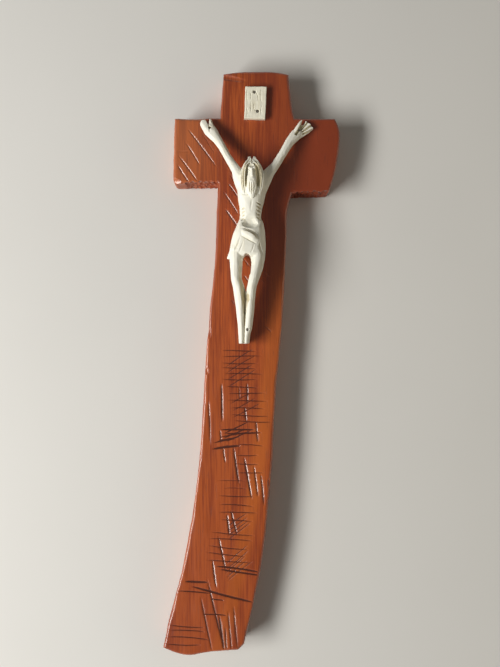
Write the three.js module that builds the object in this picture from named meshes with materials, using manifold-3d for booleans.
// A carved wall cross with a figure, lying on its back, in millimetres.
// +X runs to the viewer's right, +Y towards the head of the cross and +Z out of its front face.
// The back of the board lies on z = 0 and the middle of the board's outline is on x = y = 0.
import * as THREE from "three";
import { mergeVertices } from "three/addons/utils/BufferGeometryUtils.js";
import Module from "manifold-3d";

const wasm = await Module();
wasm.setup();

// Board: one upright with a block glued to each side of it
const crossHeight = 400;
const boardThickness = 20;
const edgeRound = 1.5;
const headHeight = 32;
const leftSeam = -23.2;
const rightSeam = 29.4;
const leftArmReach = 30;
const leftArmHeight = 44.5;
const rightArmReach = 31.1;
const rightArmHeight = 51;

// Edges of the board. Each point has its x and its share of the way along its stretch:
// up from the arms to the top of the head, and down from the arms' lower edges to the foot.
const headEdge = [
  [-21.3, 0],
  [-20.4, 0.44],
  [-19.2, 0.95],
  [-9, 1],
  [14, 0.995],
  [25.4, 0.945],
  [27.6, 0.25],
  [29.4, 0],
];
const shaftRightEdge = [
  [27.4, 0],
  [24.3, 0.047],
  [23.6, 0.114],
  [22.2, 0.23],
  [16.8, 0.429],
  [13.3, 0.618],
  [7.2, 0.795],
  [1.7, 0.88],
  [-5, 0.976],
];
const footEdge = [
  [-9, 0.989],
  [-28, 0.993],
  [-41.4, 1],
  [-51, 0.995],
  [-60.4, 0.983],
];
const shaftLeftEdge = [
  [-57.1, 0.928],
  [-48.2, 0.828],
  [-40.7, 0.702],
  [-35.2, 0.564],
  [-32.5, 0.427],
  [-29.1, 0.289],
  [-25, 0.162],
  [-23.6, 0.048],
];

// Gouge marks along the undersides of the arms
const gougeRadius = 3.4;
const gougeSpacing = 5.2;
const gougeBite = 2.2;
const gougeSlope = 6;

// Knife lines in the front face: x, drop, slope in degrees, length, count, step in x and in drop
const knifeDepth = 1.1;
const knifeHalfWidth = 0.55;
const knifeGroups = [
  [-42.5, 9.5, -55, 32, 1, 0, 0],
  [-45, 24, -55, 22, 3, -3.2, 6.6],
  [-32, 13, -53, 15, 1, 0, 0],
  [-13.5, 43, -57, 12, 4, -1.8, 8.4],
  [-29, 190, -88, 30, 3, 5.4, -4],
  [-13, 184, -89, 13, 2, 5.4, 0],
  [-18, 228, -80, 14, 4, 8.4, 3],
  [-10, 226, -78, 25, 2, 7, 6],
  [-17, 270, -78, 16, 2, -6, 15],
  [-29, 314, -74, 46, 4, 5.4, 4],
  [-34, 332, -78, 34, 2, 22, -2],
  [-22, 158, 0, 26, 3, 0.6, 8.8],
  [-18, 184, -2, 26, 2, 1, 8],
  [-6, 198, -2, 14, 3, 1, 6],
  [-25, 225, 9, 20, 1, 0, 0],
  [-10, 226, -3, 15, 3, -1.2, 8],
  [-22, 259, -3, 23, 5, -1.2, 8.6],
  [-26, 301, -4, 26, 3, 0.6, 7],
  [-44, 317, -7, 32, 2, -3, 7],
  [-32, 339, -1, 16, 1, 0, 0],
  [-55, 350, -2, 26, 3, -1.6, 4.6],
];

// Chip cut out of the front of the head
const chipRadius = 2.6;
const chipLength = 15;
const chipDepth = 1.3;
const chipDrop = 5;
const chipFall = 1.8;

// Hidden dowels between the upright and the arm blocks
const dowelRadius = 3;
const dowelLength = 30;
const dowelInset = 15;
const dowelClearance = 0.15;

// Title plaque and its two pins, whose places are measured from its middle
const plaqueWidth = 14.6;
const plaqueHeight = 22;
const plaqueThickness = 4;
const plaqueRound = 0.5;
const plaqueMiddle = 2.6;
const plaqueRise = 9.2;
const plaqueTilt = -2;
const pinHeadRadius = 1.1;
const pinHeadHeight = 0.6;
const pinSink = 0.4;
const pinShankRadius = 0.55;
const pinLength = 12;
const pinPlaces = [
  ["plaque_pin_upper", -0.9, 7.4],
  ["plaque_pin_lower", 1.7, -5.6],
];

// Nails through the hands and the feet
const nailHeadRadius = 0.9;
const nailHeadHeight = 0.5;
const nailShankRadius = 0.55;
const nailBite = 8;
const handNailSeat = 4.2;
const footNailSeat = 11.9;
const pinClearance = 0.2;
const headClearance = 0.3;

// Pegs that hold the arms of the figure at the shoulders
const shoulderCut = 35;
const pegRadius = 1;
const pegLength = 9;

// Screw from the back of the board into the figure
const screwMiddle = 0;
const screwDrop = 57;
const screwShankRadius = 1.6;
const screwHeadRadius = 3.4;
const screwHeadHeight = 2.4;
const screwSink = 2;
const screwBite = 9;

// Keyhole hanger let into the back of the head
const hangerWidth = 16;
const hangerHeight = 36;
const hangerThickness = 1.6;
const hangerMiddle = 2;
const hangerRise = 8;
const hangerSink = 0.4;
const keyholeEntryRadius = 4.5;
const keyholeSlotRadius = 2.2;
const keyholeSlotLength = 8;
const keyholePocketDepth = 6;
const hangerScrewSpacing = 29;
const hangerScrewRadius = 1.2;
const hangerScrewHeadRadius = 2.2;
const hangerScrewHeadHeight = 1.2;
const hangerScrewLength = 13;

// Figure: x, y below the top of the arms, height above the board, half width and half depth
const torsoLine = [
  [0.6, -41, 9, 7, 4.5],
  [0.6, -46, 9, 9.6, 7.4],
  [0.1, -52, 9, 9.2, 8.8],
  [-0.3, -60, 8.6, 7.7, 8.9],
  [-0.6, -66, 8, 7.1, 8.2],
  [-0.9, -71, 7, 6.7, 6.2],
  [-0.7, -75, 7, 8, 6.4],
  [-1.1, -80, 8, 9.2, 8],
  [-1.9, -86, 8.6, 10.6, 8.8],
  [-2.5, -92, 9, 11.6, 9],
  [-2.6, -96, 9, 10.8, 7.6],
];
const leftLegLine = [
  [-8.6, -86, 8, 5, 7],
  [-9.8, -94, 11.5, 4.8, 6.4],
  [-10.1, -103, 14, 4, 5.2],
  [-10, -111, 16, 3.4, 4.6],
  [-8.7, -116, 15.4, 3.6, 4.6],
  [-7.9, -120, 14, 3.8, 4.6],
  [-7.5, -124, 12.6, 3.6, 4.6],
  [-7.2, -133, 10.8, 2.9, 4.3],
  [-6.9, -142, 9, 2.3, 4.4],
  [-6.7, -148, 7.4, 2.1, 5],
  [-6.5, -153.5, 5.9, 1.9, 6.3],
];
const rightLegLine = [
  [3.6, -86, 8, 5, 7],
  [4.3, -94, 11.5, 4.8, 6.4],
  [3.4, -103, 14, 4.2, 5.4],
  [1.6, -110, 16, 3.6, 4.8],
  [0.2, -115.5, 15.6, 3.2, 4.6],
  [-0.7, -124, 12.6, 3.1, 4.6],
  [-1.4, -133, 10.8, 3, 4.3],
  [-2.2, -142, 9, 2.7, 4.4],
  [-3.1, -148, 7.4, 2.2, 5],
  [-3.6, -153.5, 5.9, 2, 6.3],
];
const leftArmLine = [
  [-4.5, -52, 9, 4, 4.5],
  [-7.6, -45, 10, 3.9, 4.2],
  [-10.4, -38, 10.4, 2.9, 3.2],
  [-15.4, -30.1, 9.6, 2.3, 2.7],
  [-20.1, -21.5, 8, 2.4, 2.6],
  [-24.6, -14.4, 5.8, 3.1, 2.6],
  [-28.4, -9.2, 3.9, 4.8, 2.7],
  [-30.8, -4.6, 2.9, 4.4, 2.3],
  [-31.8, -2.4, 2.6, 3.6, 1.9],
];
const rightArmLine = [
  [5.5, -52, 9, 4, 4.5],
  [8.2, -46, 10, 4.1, 4.2],
  [11.6, -40.2, 10.4, 3.3, 3.3],
  [16.1, -34.4, 9.6, 2.6, 2.8],
  [21.6, -25.3, 8, 2.5, 2.6],
  [26.1, -17.6, 5.8, 2.8, 2.6],
  [31, -11.8, 3.9, 4.1, 2.7],
  [35.4, -7.4, 2.9, 4.8, 2.2],
  [37.9, -5.2, 2.5, 4.9, 1.7],
];
const headMiddle = 0.3;
const skullLine = [
  [headMiddle, -32.2, 12.6, 3.4, 3.6],
  [headMiddle, -35, 13.6, 5.6, 6],
  [headMiddle, -40, 14.2, 7.2, 7.6],
  [headMiddle, -46, 14, 7.8, 7.6],
  [headMiddle, -51, 13, 7.4, 6.6],
  [headMiddle, -55, 12.4, 5.6, 5],
];
const hairLockLine = [
  [headMiddle + 2, -34, 17.6, 2, 2.4],
  [headMiddle + 5.6, -38.5, 17.6, 2.1, 2.7],
  [headMiddle + 6.8, -44.5, 16.6, 2.2, 2.9],
  [headMiddle + 6.4, -50.5, 15.2, 2, 2.7],
  [headMiddle + 5.2, -55.5, 14.2, 1.2, 1.8],
];
const beardLine = [
  [headMiddle, -46, 18.4, 3.9, 3.4],
  [headMiddle, -50, 19.2, 3.3, 3.1],
  [headMiddle, -53.6, 18.8, 2.3, 2.4],
  [headMiddle, -56.6, 17.6, 0.9, 1.2],
];
const noseLine = [
  [headMiddle, -39.8, 21.4, 0.8, 0.9],
  [headMiddle, -42.4, 22.4, 0.9, 1],
  [headMiddle, -44.4, 22.9, 1.3, 1.2],
];
const clothLine = [
  [-0.9, -77, 8.4, 8.7, 8.4],
  [-1.4, -82, 9, 9.8, 9.6],
  [-2.2, -88, 9.6, 11.1, 10],
  [-2.7, -94, 10.4, 12, 9.4],
  [-2.7, -98, 11.4, 11.6, 7.6],
];
const clothRollLine = [
  [-6.8, -79.8, 15.8, 2, 1.8],
  [-3.6, -81, 17.6, 2.5, 2.2],
  [0.4, -83.2, 18, 2.5, 2.2],
  [3.6, -85.6, 16.6, 1.8, 1.8],
];
const clothEndLine = [
  [-9.4, -86, 11, 2.6, 4.6],
  [-11.4, -91, 11, 2.4, 4.4],
  [-13.6, -94.8, 10.6, 1.8, 3.4],
  [-15.7, -97.2, 10, 0.5, 1.4],
];
// The arch between the legs, open from front to back
const legGapLine = [
  [-3.1, -94.4, 10, 1.2, 14],
  [-3.1, -96, 10, 2.3, 14],
  [-3, -101, 10, 3, 14],
  [-3.2, -106, 10, 3, 14],
  [-3.9, -110.5, 10, 2.4, 14],
  [-3.7, -114, 10, 1.4, 14],
  [-3.6, -118, 10, 0.4, 14],
];
// The wood left between the shins, lower than they are
const legWebLine = [
  [-3.9, -120, 12, 1.2, 1.6],
  [-4.1, -126, 10.6, 1.8, 2.6],
  [-4.5, -133, 9.4, 1.8, 3],
  [-4.7, -142, 7, 1.6, 3.8],
  [-4.9, -150, 5, 1.2, 4.4],
];
const crownPoints = [
  [-2.4, -33, 14.4, -2.6, -30.4, 14.6],
  [3, -33, 14.4, 3.2, -30.4, 14.6],
];
const handNailLeft = [-28.2, -8.2];
const handNailRight = [32.6, -9.6];
const footNail = [-2.7, -144.6];

// Cuts between the fingers: root, finger end and half width there
const leftFingerCuts = [
  [-30.6, -6.2, -34, -2.4, 0.4],
  [-30.2, -5.2, -32.2, -0.4, 0.35],
  [-29, -6.4, -29.8, -0.2, 1.4],
];
const rightFingerCuts = [
  [33.4, -7.6, 37.4, -1.2, 1],
  [34.6, -8.2, 40, -3, 0.5],
  [34.8, -9.4, 42, -5.8, 0.5],
];

const headTop = crossHeight / 2;
const armTop = headTop - headHeight;
const figureSides = 12;
const roundSides = 24;
const pinSides = 14;
const far = 2 * crossHeight;

const stainedWood = new THREE.MeshStandardMaterial({ color: 0x93431f, roughness: 0.35 });
const paleWood = new THREE.MeshStandardMaterial({ color: 0xe6dcb8, roughness: 0.5 });
const beech = new THREE.MeshStandardMaterial({ color: 0xc9a070, roughness: 0.7 });
const zincSteel = new THREE.MeshStandardMaterial({
  color: 0x9a9893,
  roughness: 0.4,
  metalness: 1,
});
const darkSteel = new THREE.MeshStandardMaterial({
  color: 0x3d3a35,
  roughness: 0.5,
  metalness: 1,
});

// Solids

const vector = (x, y, z) => new THREE.Vector3(x, y, z);
const radians = THREE.MathUtils.degToRad;
const joined = (bodies) => bodies.reduce((sum, body) => sum.add(body));

function solid(geometry) {
  const bare = geometry.clone();
  bare.deleteAttribute("normal");
  bare.deleteAttribute("uv");
  const merged = mergeVertices(bare, 1e-4);
  return new wasm.Manifold(
    new wasm.Mesh({
      numProp: 3,
      vertProperties: new Float32Array(merged.attributes.position.array),
      triVerts: new Uint32Array(merged.index.array),
    }),
  );
}

function piece(name, body, material) {
  const cut = body.getMesh();
  const geometry = new THREE.BufferGeometry();
  geometry.setAttribute("position", new THREE.BufferAttribute(cut.vertProperties, 3));
  geometry.setIndex(new THREE.BufferAttribute(cut.triVerts, 1));
  const mesh = new THREE.Mesh(geometry.toNonIndexed(), material);
  mesh.geometry.computeVertexNormals();
  mesh.name = name;
  return mesh;
}

function block(low, high) {
  const size = vector().subVectors(high, low);
  const middle = vector().addVectors(low, high).multiplyScalar(0.5);
  const box = new THREE.BoxGeometry(...size.toArray());
  return solid(box.translate(...middle.toArray()));
}

// A round rod from one point to another, narrowing to endRadius.
function rod(start, end, radius, endRadius = radius, sides = pinSides) {
  const along = vector().subVectors(end, start);
  const middle = vector().addVectors(start, end).multiplyScalar(0.5);
  const geometry = new THREE.CylinderGeometry(endRadius, radius, along.length(), sides);
  const turn = new THREE.Quaternion();
  turn.setFromUnitVectors(vector(0, 1, 0), along.clone().normalize());
  geometry.applyQuaternion(turn);
  return solid(geometry.translate(...middle.toArray()));
}

function post(x, y, low, high, radius, endRadius, sides) {
  return rod(vector(x, y, low), vector(x, y, high), radius, endRadius, sides);
}

// A closed body through rings of equally many points.
function skin(rings) {
  const sides = rings[0].length;
  const last = (rings.length - 1) * sides;
  const faces = [];
  for (let start = 0; start < last; start += sides) {
    for (let side = 0; side < sides; side++) {
      const a = start + side;
      const b = start + ((side + 1) % sides);
      faces.push(a, b, a + sides, b, b + sides, a + sides);
    }
  }
  for (let side = 1; side + 1 < sides; side++) {
    faces.push(0, side + 1, side);
    faces.push(last, last + side, last + side + 1);
  }
  const geometry = new THREE.BufferGeometry().setFromPoints(rings.flat());
  return solid(geometry.setIndex(faces));
}

// A carved limb through its stations. Its section is a squared ellipse, with the flats of a knife.
function limb(stations, sides = figureSides) {
  const squareness = 0.75;
  const middles = stations.map(([x, y, height]) => vector(x, y, height));
  const rings = stations.map(([, , , halfWidth, halfDepth], index) => {
    const before = middles[Math.max(index - 1, 0)];
    const after = middles[Math.min(index + 1, middles.length - 1)];
    const along = vector().subVectors(after, before).normalize();
    const across = vector(0, 0, 1).cross(along).normalize();
    const outward = vector().crossVectors(along, across);
    return Array.from({ length: sides }, (_, side) => {
      const angle = (2 * Math.PI * (side + 0.5)) / sides;
      const [wide, deep] = [Math.cos(angle), Math.sin(angle)];
      return middles[index]
        .clone()
        .addScaledVector(across, Math.sign(wide) * Math.abs(wide) ** squareness * halfWidth)
        .addScaledVector(outward, Math.sign(deep) * Math.abs(deep) ** squareness * halfDepth);
    });
  });
  return skin(rings);
}

function egg(x, y, height, halfWidth, halfLength, halfDepth) {
  const ball = new THREE.SphereGeometry(1, 12, 8).scale(halfWidth, halfLength, halfDepth);
  return solid(ball.translate(x, y, height));
}

function prism(points, low, high) {
  const outline = new THREE.Shape(points.map(([x, y]) => new THREE.Vector2(x, y)));
  const options = { depth: high - low, bevelEnabled: false };
  return solid(new THREE.ExtrudeGeometry(outline, options).translate(0, 0, low));
}

// Board

// Points of a smooth line. Each place has its x and its share of the way from one y to another.
function edge(places, from, to, steps) {
  const lerp = THREE.MathUtils.lerp;
  const points = places.map(([x, share]) => new THREE.Vector2(x, lerp(from, to, share)));
  return new THREE.SplineCurve(points).getPoints(steps);
}

function boardOutline() {
  const rightEnd = rightSeam + rightArmReach;
  const leftEnd = leftSeam - leftArmReach;
  const rightLow = armTop - rightArmHeight;
  const leftLow = armTop - leftArmHeight;
  const footEnd = headTop - crossHeight;
  const rightArmEnd = [
    [rightEnd - 3.6, 0.006],
    [rightEnd - 0.8, 0.12],
    [rightEnd, 0.275],
    [rightEnd - 1.8, 0.59],
    [rightEnd - 5.2, 0.86],
    [rightEnd - 7.2, 0.98],
    [rightEnd - 12, 1],
  ];
  const leftArmEnd = [
    [leftEnd + 1.4, 1],
    [leftEnd - 0.4, 0.93],
    [leftEnd, 0.5],
    [leftEnd + 0.8, 0.005],
  ];
  return [
    ...edge(headEdge.slice(0, 3), armTop, headTop, 3).slice(0, -1),
    ...edge(headEdge.slice(2, 6), armTop, headTop, 8).slice(0, -1),
    ...edge(headEdge.slice(5), armTop, headTop, 5),
    ...edge(rightArmEnd, armTop, rightLow, 15),
    ...edge(shaftRightEdge, rightLow, footEnd, 26),
    ...edge(footEdge, rightLow, footEnd, 11),
    ...edge(shaftLeftEdge, leftLow, footEnd, 20),
    new THREE.Vector2(leftSeam, leftLow),
    ...edge(leftArmEnd, armTop, leftLow, 8),
  ];
}

function wholeBoard() {
  const geometry = new THREE.ExtrudeGeometry(new THREE.Shape(boardOutline()), {
    depth: boardThickness - 2 * edgeRound,
    bevelThickness: edgeRound,
    bevelSize: edgeRound,
    bevelOffset: -edgeRound,
    bevelSegments: 2,
  });
  return solid(geometry.translate(0, 0, edgeRound));
}

// The space taken by the arm block on one side.
function armSpace(seam, side, height) {
  const ends = [seam, side * far];
  const low = vector(Math.min(...ends), armTop - height, -far);
  return block(low, vector(Math.max(...ends), armTop, far));
}

// A row of scoops off the lower front edge of an arm.
function gougeMarks(start, end, height) {
  const count = Math.floor((end - start) / gougeSpacing);
  const level = armTop - height - gougeRadius + gougeBite;
  return joined(
    Array.from({ length: count }, (_, index) => {
      const x = start + (index + 0.5) * gougeSpacing;
      const wobble = (index % 3) - 1;
      const top = vector(x + wobble, level + 0.4 * wobble, boardThickness + gougeRadius);
      const foot = vector(x, level - gougeSlope, boardThickness / 3 + wobble);
      return rod(foot, top, gougeRadius);
    }),
  );
}

// One V-shaped cut, pointed at both ends and deepest in the middle.
function knifeLine(x, drop, slope, length) {
  const half = length / 2;
  const lift = 0.4;
  const rise = (knifeHalfWidth * (knifeDepth + lift)) / knifeDepth;
  const section = (share) =>
    [
      [-rise, lift],
      [0, -knifeDepth],
      [rise, lift],
    ].map(([across, height]) => vector(share * half, across * (1 - share ** 2) ** 0.5, height));
  const [middleLeft, middleFloor, middleRight] = section(0);
  const faces = new THREE.BufferGeometry().setFromPoints([
    middleLeft,
    middleFloor,
    middleRight,
    vector(-half, 0, lift),
    vector(half, 0, lift),
  ]);
  faces.setIndex([0, 1, 4, 1, 2, 4, 2, 0, 4, 1, 0, 3, 2, 1, 3, 0, 2, 3]);
  faces.translate(half, 0, 0);
  faces.rotateZ(radians(slope));
  return solid(faces.translate(x, armTop - drop, boardThickness));
}

function knifeLines() {
  return joined(
    knifeGroups.flatMap(([x, drop, slope, length, count, stepX, stepDrop]) =>
      Array.from({ length: count }, (_, index) =>
        knifeLine(x + index * stepX, drop + index * stepDrop, slope, length),
      ),
    ),
  );
}

function headChip() {
  const [startX] = headEdge[2];
  const height = boardThickness + chipRadius - chipDepth;
  const start = vector(startX - 2, headTop - chipDrop, height);
  const end = vector(startX + chipLength, headTop - chipDrop - chipFall, height + chipDepth);
  return rod(start, end, chipRadius);
}

// Two dowels across a seam, thicker and longer by the growth at each side and end.
function dowels(seam, height, growth) {
  const reach = dowelLength / 2 + growth;
  return [dowelInset, height - dowelInset].map((drop) => {
    const start = vector(seam - reach, armTop - drop, boardThickness / 2);
    const end = vector(seam + reach, armTop - drop, boardThickness / 2);
    return rod(start, end, dowelRadius + growth, undefined, roundSides);
  });
}

const dowelHoles = (seam, height) => joined(dowels(seam, height, dowelClearance));

// Pins and screws

// A pin or a nail standing in the front face, with its head resting at the given height.
function pin(seat, tipHeight, shankRadius, headRadius, headHeight) {
  const pointLength = 3 * shankRadius;
  const shank = post(0, 0, tipHeight + pointLength, seat + headHeight / 2, shankRadius);
  const point = post(0, 0, tipHeight, tipHeight + pointLength, 0.05, shankRadius);
  const head = post(0, 0, seat, seat + headHeight, headRadius, 0.8 * headRadius);
  return joined([shank, point, head]);
}

// The room for a pin: a hole for its shank and a spot for its head.
function pinRoom(seat, tipHeight, shankRadius, headRadius) {
  const hole = post(0, 0, tipHeight - pinClearance, seat + far, shankRadius + pinClearance);
  const spot = post(0, 0, seat, seat + far, headRadius + headClearance);
  return hole.add(spot);
}

const plaqueSeat = plaqueThickness - pinSink - pinHeadHeight;
const plaquePin = () =>
  pin(plaqueSeat, plaqueSeat - pinLength, pinShankRadius, pinHeadRadius, pinHeadHeight);
const plaquePinRoom = () =>
  pinRoom(plaqueSeat, plaqueSeat - pinLength, pinShankRadius, pinHeadRadius);
const nail = (seat) => pin(seat, -nailBite, nailShankRadius, nailHeadRadius, nailHeadHeight);
const nailRoom = (seat) => pinRoom(seat, -nailBite, nailShankRadius, nailHeadRadius);

// A countersunk screw pointing up from z = 0, grown by a clearance.
function screw(shankRadius, headRadius, headHeight, length, growth = 0) {
  const pointLength = 2 * shankRadius;
  const bearing = shankRadius + growth;
  return joined([
    post(0, 0, 0, headHeight, headRadius + growth, bearing, roundSides),
    post(0, 0, headHeight / 2, length - pointLength, bearing, bearing, roundSides),
    post(0, 0, length - pointLength, length + growth, bearing, 0.1, roundSides),
  ]);
}

const figureScrewLength = boardThickness - screwSink + screwBite;

// The well for the figure's screw, open at the back of the board.
function figureScrewRoom() {
  const room = screw(
    screwShankRadius,
    screwHeadRadius,
    screwHeadHeight,
    figureScrewLength,
    pinClearance,
  );
  const mouth = post(0, 0, -far, 0, screwHeadRadius + pinClearance, undefined, roundSides);
  return room.add(mouth).translate(screwMiddle, armTop - screwDrop, screwSink);
}

function hangerScrew(growth = 0) {
  return screw(
    hangerScrewRadius,
    hangerScrewHeadRadius,
    hangerScrewHeadHeight,
    hangerScrewLength,
    growth,
  );
}

// Keyhole hanger, measured from the middle of its plate with its face on z = 0

const hangerScrewPlaces = [-1, 1].map((end) => (end * hangerScrewSpacing) / 2);
const keyholeEntry = -keyholeSlotLength / 2 - 1;

function keyhole(low, high, growth) {
  const slotRadius = keyholeSlotRadius + growth;
  const end = keyholeEntry + keyholeSlotLength;
  return joined([
    post(0, keyholeEntry, low, high, keyholeEntryRadius, undefined, roundSides),
    post(0, end, low, high, slotRadius, undefined, roundSides),
    block(vector(-slotRadius, keyholeEntry, low), vector(slotRadius, end, high)),
  ]);
}

function hangerPlate() {
  const corner = hangerWidth / 2;
  const half = hangerHeight / 2 - corner;
  const ends = [-half, half].map((y) =>
    post(0, y, 0, hangerThickness, corner, undefined, roundSides),
  );
  const middle = block(vector(-corner, -half, 0), vector(corner, half, hangerThickness));
  return joined([...ends, middle]);
}

function hangerBody() {
  const screwHoles = hangerScrewPlaces.map((y) => hangerScrew(pinClearance).translate(0, y, 0));
  return hangerPlate().subtract(keyhole(-1, far, 0)).subtract(joined(screwHoles));
}

// The recess for the plate, the pocket behind its keyhole and the holes for its screws.
function hangerRoom() {
  const fit = (hangerWidth + 2 * headClearance) / hangerWidth;
  const recess = hangerPlate().scale([fit, fit, 1]);
  const mouth = recess.translate(0, 0, -hangerSink);
  const pocket = keyhole(
    0,
    hangerThickness + keyholePocketDepth,
    keyholeEntryRadius - keyholeSlotRadius,
  );
  const screwHoles = hangerScrewPlaces.map((y) => hangerScrew(pinClearance).translate(0, y, 0));
  return joined([recess, mouth, pocket, ...screwHoles]);
}

const onHanger = (body, y = 0) =>
  body.translate(hangerMiddle, armTop + hangerRise + y, hangerSink);

// Title plaque

function plaqueBody() {
  const geometry = new THREE.ExtrudeGeometry(plaqueOutline(), {
    depth: plaqueThickness - plaqueRound,
    bevelThickness: plaqueRound,
    bevelSize: plaqueRound,
    bevelOffset: -plaqueRound,
    bevelSegments: 1,
  });
  return solid(geometry)
    .intersect(block(vector(-far, -far, 0), vector(far, far, far)))
    .subtract(joined(pinPlaces.map(([, x, y]) => plaquePinRoom().translate(x, y, 0))));
}

// A sheet that was cut by hand, a little wider at its foot.
function plaqueOutline() {
  const [w, h] = [plaqueWidth / 2, plaqueHeight / 2];
  const corners = [
    [-w + 0.3, -h],
    [w - 0.2, -h + 0.3],
    [w, 0.2 * h],
    [w - 0.3, h],
    [0.1 * w, h - 0.2],
    [-w + 0.4, h],
    [-w + 0.5, -0.1 * h],
  ];
  return new THREE.Shape(corners.map(([x, y]) => new THREE.Vector2(x, y)));
}

function onPlaque(mesh, x = 0, y = 0) {
  const place = vector(x, y, 0).applyAxisAngle(vector(0, 0, 1), radians(plaqueTilt));
  mesh.position.set(plaqueMiddle + place.x, armTop + plaqueRise + place.y, boardThickness);
  mesh.rotation.z = radians(plaqueTilt);
  return mesh;
}

// Figure, built above z = 0 with y = 0 at the top of the arms of the cross

const mirrored = (line) => line.map(([x, ...rest]) => [2 * headMiddle - x, ...rest]);
const aboveBoard = () => block(vector(-far, -far, 0), vector(far, far, far));

// The outer part of an arm, beyond a straight cut across the shoulder.
function beyondShoulder(side) {
  const inner = side * (headMiddle + 8.2);
  const low = vector(Math.min(inner, side * far), -shoulderCut, -far);
  return block(low, vector(Math.max(inner, side * far), far, far));
}

// A peg along the arm, through the middle of the cut across it.
function shoulderPeg(line, growth) {
  const next = line.findIndex(([, y]) => y > -shoulderCut);
  const outer = vector(...line[next].slice(0, 3));
  const inner = vector(...line[next - 1].slice(0, 3));
  const share = (-shoulderCut - inner.y) / (outer.y - inner.y);
  const middle = inner.clone().lerp(outer, share);
  const along = outer.sub(inner).normalize();
  const reach = pegLength / 2 + growth;
  const start = middle.clone().addScaledVector(along, -reach);
  const end = middle.clone().addScaledVector(along, reach);
  return rod(start, end, pegRadius + growth);
}

const pegHole = (line) => shoulderPeg(line, pinClearance);

function face() {
  const eyes = [-1, 1].map((side) => egg(headMiddle + side * 1.9, -41.6, 20.9, 1.1, 0.6, 0.8));
  const brows = [-1, 1].map((side) => egg(headMiddle + side * 1.9, -39.9, 20.7, 1.7, 0.7, 0.8));
  return joined([
    egg(headMiddle, -43.4, 16.6, 4.8, 7.6, 5.2),
    limb(noseLine),
    egg(headMiddle, -46.2, 21.4, 1.4, 0.7, 0.9),
    ...eyes,
    ...brows,
  ]);
}

function head() {
  const points = crownPoints.map(([x, y, height, tipX, tipY, tipHeight]) =>
    rod(vector(x, y, height), vector(tipX, tipY, tipHeight), 2, 0.6),
  );
  return joined([
    limb(skullLine),
    limb(hairLockLine),
    limb(mirrored(hairLockLine)),
    limb(beardLine),
    face(),
    ...points,
  ]);
}

function figureBody() {
  const whole = joined([
    limb(torsoLine),
    limb(leftArmLine),
    limb(rightArmLine),
    limb(clothLine),
    limb(clothRollLine),
    limb(clothEndLine),
    limb(leftLegLine),
    limb(rightLegLine),
    head(),
  ])
    .subtract(limb(legGapLine))
    .add(limb(legWebLine));
  const screwWell = figureScrewRoom().translate(0, -armTop, -boardThickness);
  return whole
    .intersect(aboveBoard())
    .subtract(beyondShoulder(-1))
    .subtract(beyondShoulder(1))
    .subtract(pegHole(leftArmLine))
    .subtract(pegHole(rightArmLine))
    .subtract(nailRoom(footNailSeat).translate(...footNail, 0))
    .subtract(screwWell);
}

// Wedges that narrow from the ends of the fingers into the hand.
function fingerCuts(cuts) {
  return joined(
    cuts.map(([x, y, tipX, tipY, half]) => {
      const root = new THREE.Vector2(x, y);
      const tip = new THREE.Vector2(tipX, tipY);
      const side = tip.clone().sub(root).normalize().multiplyScalar(half);
      const left = [tip.x - side.y, tip.y + side.x];
      const right = [tip.x + side.y, tip.y - side.x];
      return prism([[x, y], right, left], 1.2, far);
    }),
  );
}

function figureArm(side, line, nailPlace, cuts) {
  return limb(line)
    .intersect(beyondShoulder(side))
    .intersect(aboveBoard())
    .subtract(pegHole(line))
    .subtract(nailRoom(handNailSeat).translate(...nailPlace, 0))
    .subtract(fingerCuts(cuts));
}

// Assembly

function boardPieces() {
  const nailHoles = [
    nailRoom(handNailSeat).translate(handNailLeft[0], handNailLeft[1], 0),
    nailRoom(handNailSeat).translate(handNailRight[0], handNailRight[1], 0),
    nailRoom(footNailSeat).translate(footNail[0], footNail[1], 0),
  ].map((room) => room.translate(0, armTop, boardThickness));
  const pinHoles = pinPlaces.map(([, x, y]) => {
    const turned = plaquePinRoom().translate(x, y, 0).rotate(0, 0, plaqueTilt);
    return turned.translate(plaqueMiddle, armTop + plaqueRise, boardThickness);
  });
  const whole = wholeBoard()
    .subtract(gougeMarks(leftSeam - leftArmReach + 9, leftSeam - 1, leftArmHeight))
    .subtract(gougeMarks(rightSeam + 2, rightSeam + rightArmReach - 8, rightArmHeight))
    .subtract(knifeLines())
    .subtract(headChip())
    .subtract(joined(nailHoles))
    .subtract(joined(pinHoles))
    .subtract(figureScrewRoom())
    .subtract(onHanger(hangerRoom()))
    .subtract(dowelHoles(leftSeam, leftArmHeight))
    .subtract(dowelHoles(rightSeam, rightArmHeight));
  const leftSpace = armSpace(leftSeam, -1, leftArmHeight);
  const rightSpace = armSpace(rightSeam, 1, rightArmHeight);
  return [
    piece("upright_board", whole.subtract(leftSpace).subtract(rightSpace), stainedWood),
    piece("left_arm_block", whole.intersect(leftSpace), stainedWood),
    piece("right_arm_block", whole.intersect(rightSpace), stainedWood),
  ];
}

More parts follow.
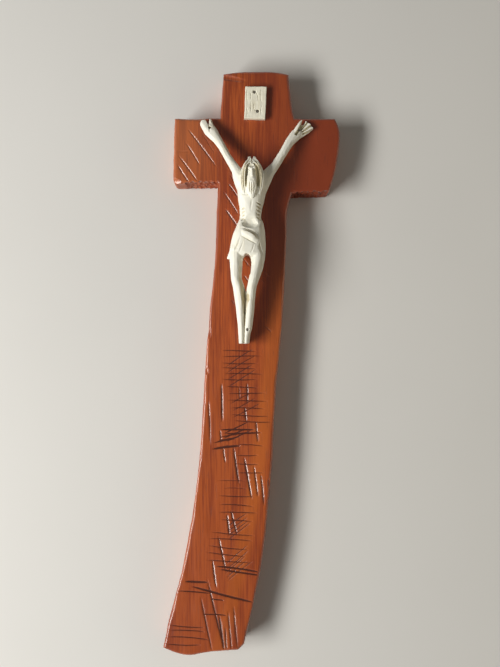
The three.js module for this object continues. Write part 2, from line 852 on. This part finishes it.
function dowelPieces() {
  const [leftUpper, leftLower] = dowels(leftSeam, leftArmHeight, 0);
  const [rightUpper, rightLower] = dowels(rightSeam, rightArmHeight, 0);
  return [
    piece("left_arm_dowel_upper", leftUpper, beech),
    piece("left_arm_dowel_lower", leftLower, beech),
    piece("right_arm_dowel_upper", rightUpper, beech),
    piece("right_arm_dowel_lower", rightLower, beech),
  ];
}

function hangerPieces() {
  const [lower, upper] = hangerScrewPlaces;
  return [
    piece("hanger_plate", onHanger(hangerBody()), zincSteel),
    piece("hanger_screw_lower", onHanger(hangerScrew(), lower), zincSteel),
    piece("hanger_screw_upper", onHanger(hangerScrew(), upper), zincSteel),
  ];
}

function plaquePieces() {
  const pins = pinPlaces.map(([name, x, y]) => onPlaque(piece(name, plaquePin(), darkSteel), x, y));
  return [onPlaque(piece("title_plaque", plaqueBody(), paleWood)), ...pins];
}

function figurePieces() {
  const figure = new THREE.Group();
  figure.position.set(0, armTop, boardThickness);
  const nails = [
    ["hand_nail_left", handNailLeft, handNailSeat],
    ["hand_nail_right", handNailRight, handNailSeat],
    ["foot_nail", footNail, footNailSeat],
  ].map(([name, place, seat]) => piece(name, nail(seat).translate(...place, 0), darkSteel));
  figure.add(
    piece("figure_body", figureBody(), paleWood),
    piece("figure_left_arm", figureArm(-1, leftArmLine, handNailLeft, leftFingerCuts), paleWood),
    piece("figure_right_arm", figureArm(1, rightArmLine, handNailRight, rightFingerCuts), paleWood),
    piece("shoulder_peg_left", shoulderPeg(leftArmLine, 0), beech),
    piece("shoulder_peg_right", shoulderPeg(rightArmLine, 0), beech),
    ...nails,
  );
  return figure;
}

function figureScrew() {
  const body = screw(screwShankRadius, screwHeadRadius, screwHeadHeight, figureScrewLength);
  const placed = body.translate(screwMiddle, armTop - screwDrop, screwSink);
  return piece("figure_screw", placed, zincSteel);
}

const group = new THREE.Group();
group.add(...boardPieces(), ...dowelPieces(), ...hangerPieces(), ...plaquePieces());
group.add(figurePieces(), figureScrew());

export default group;
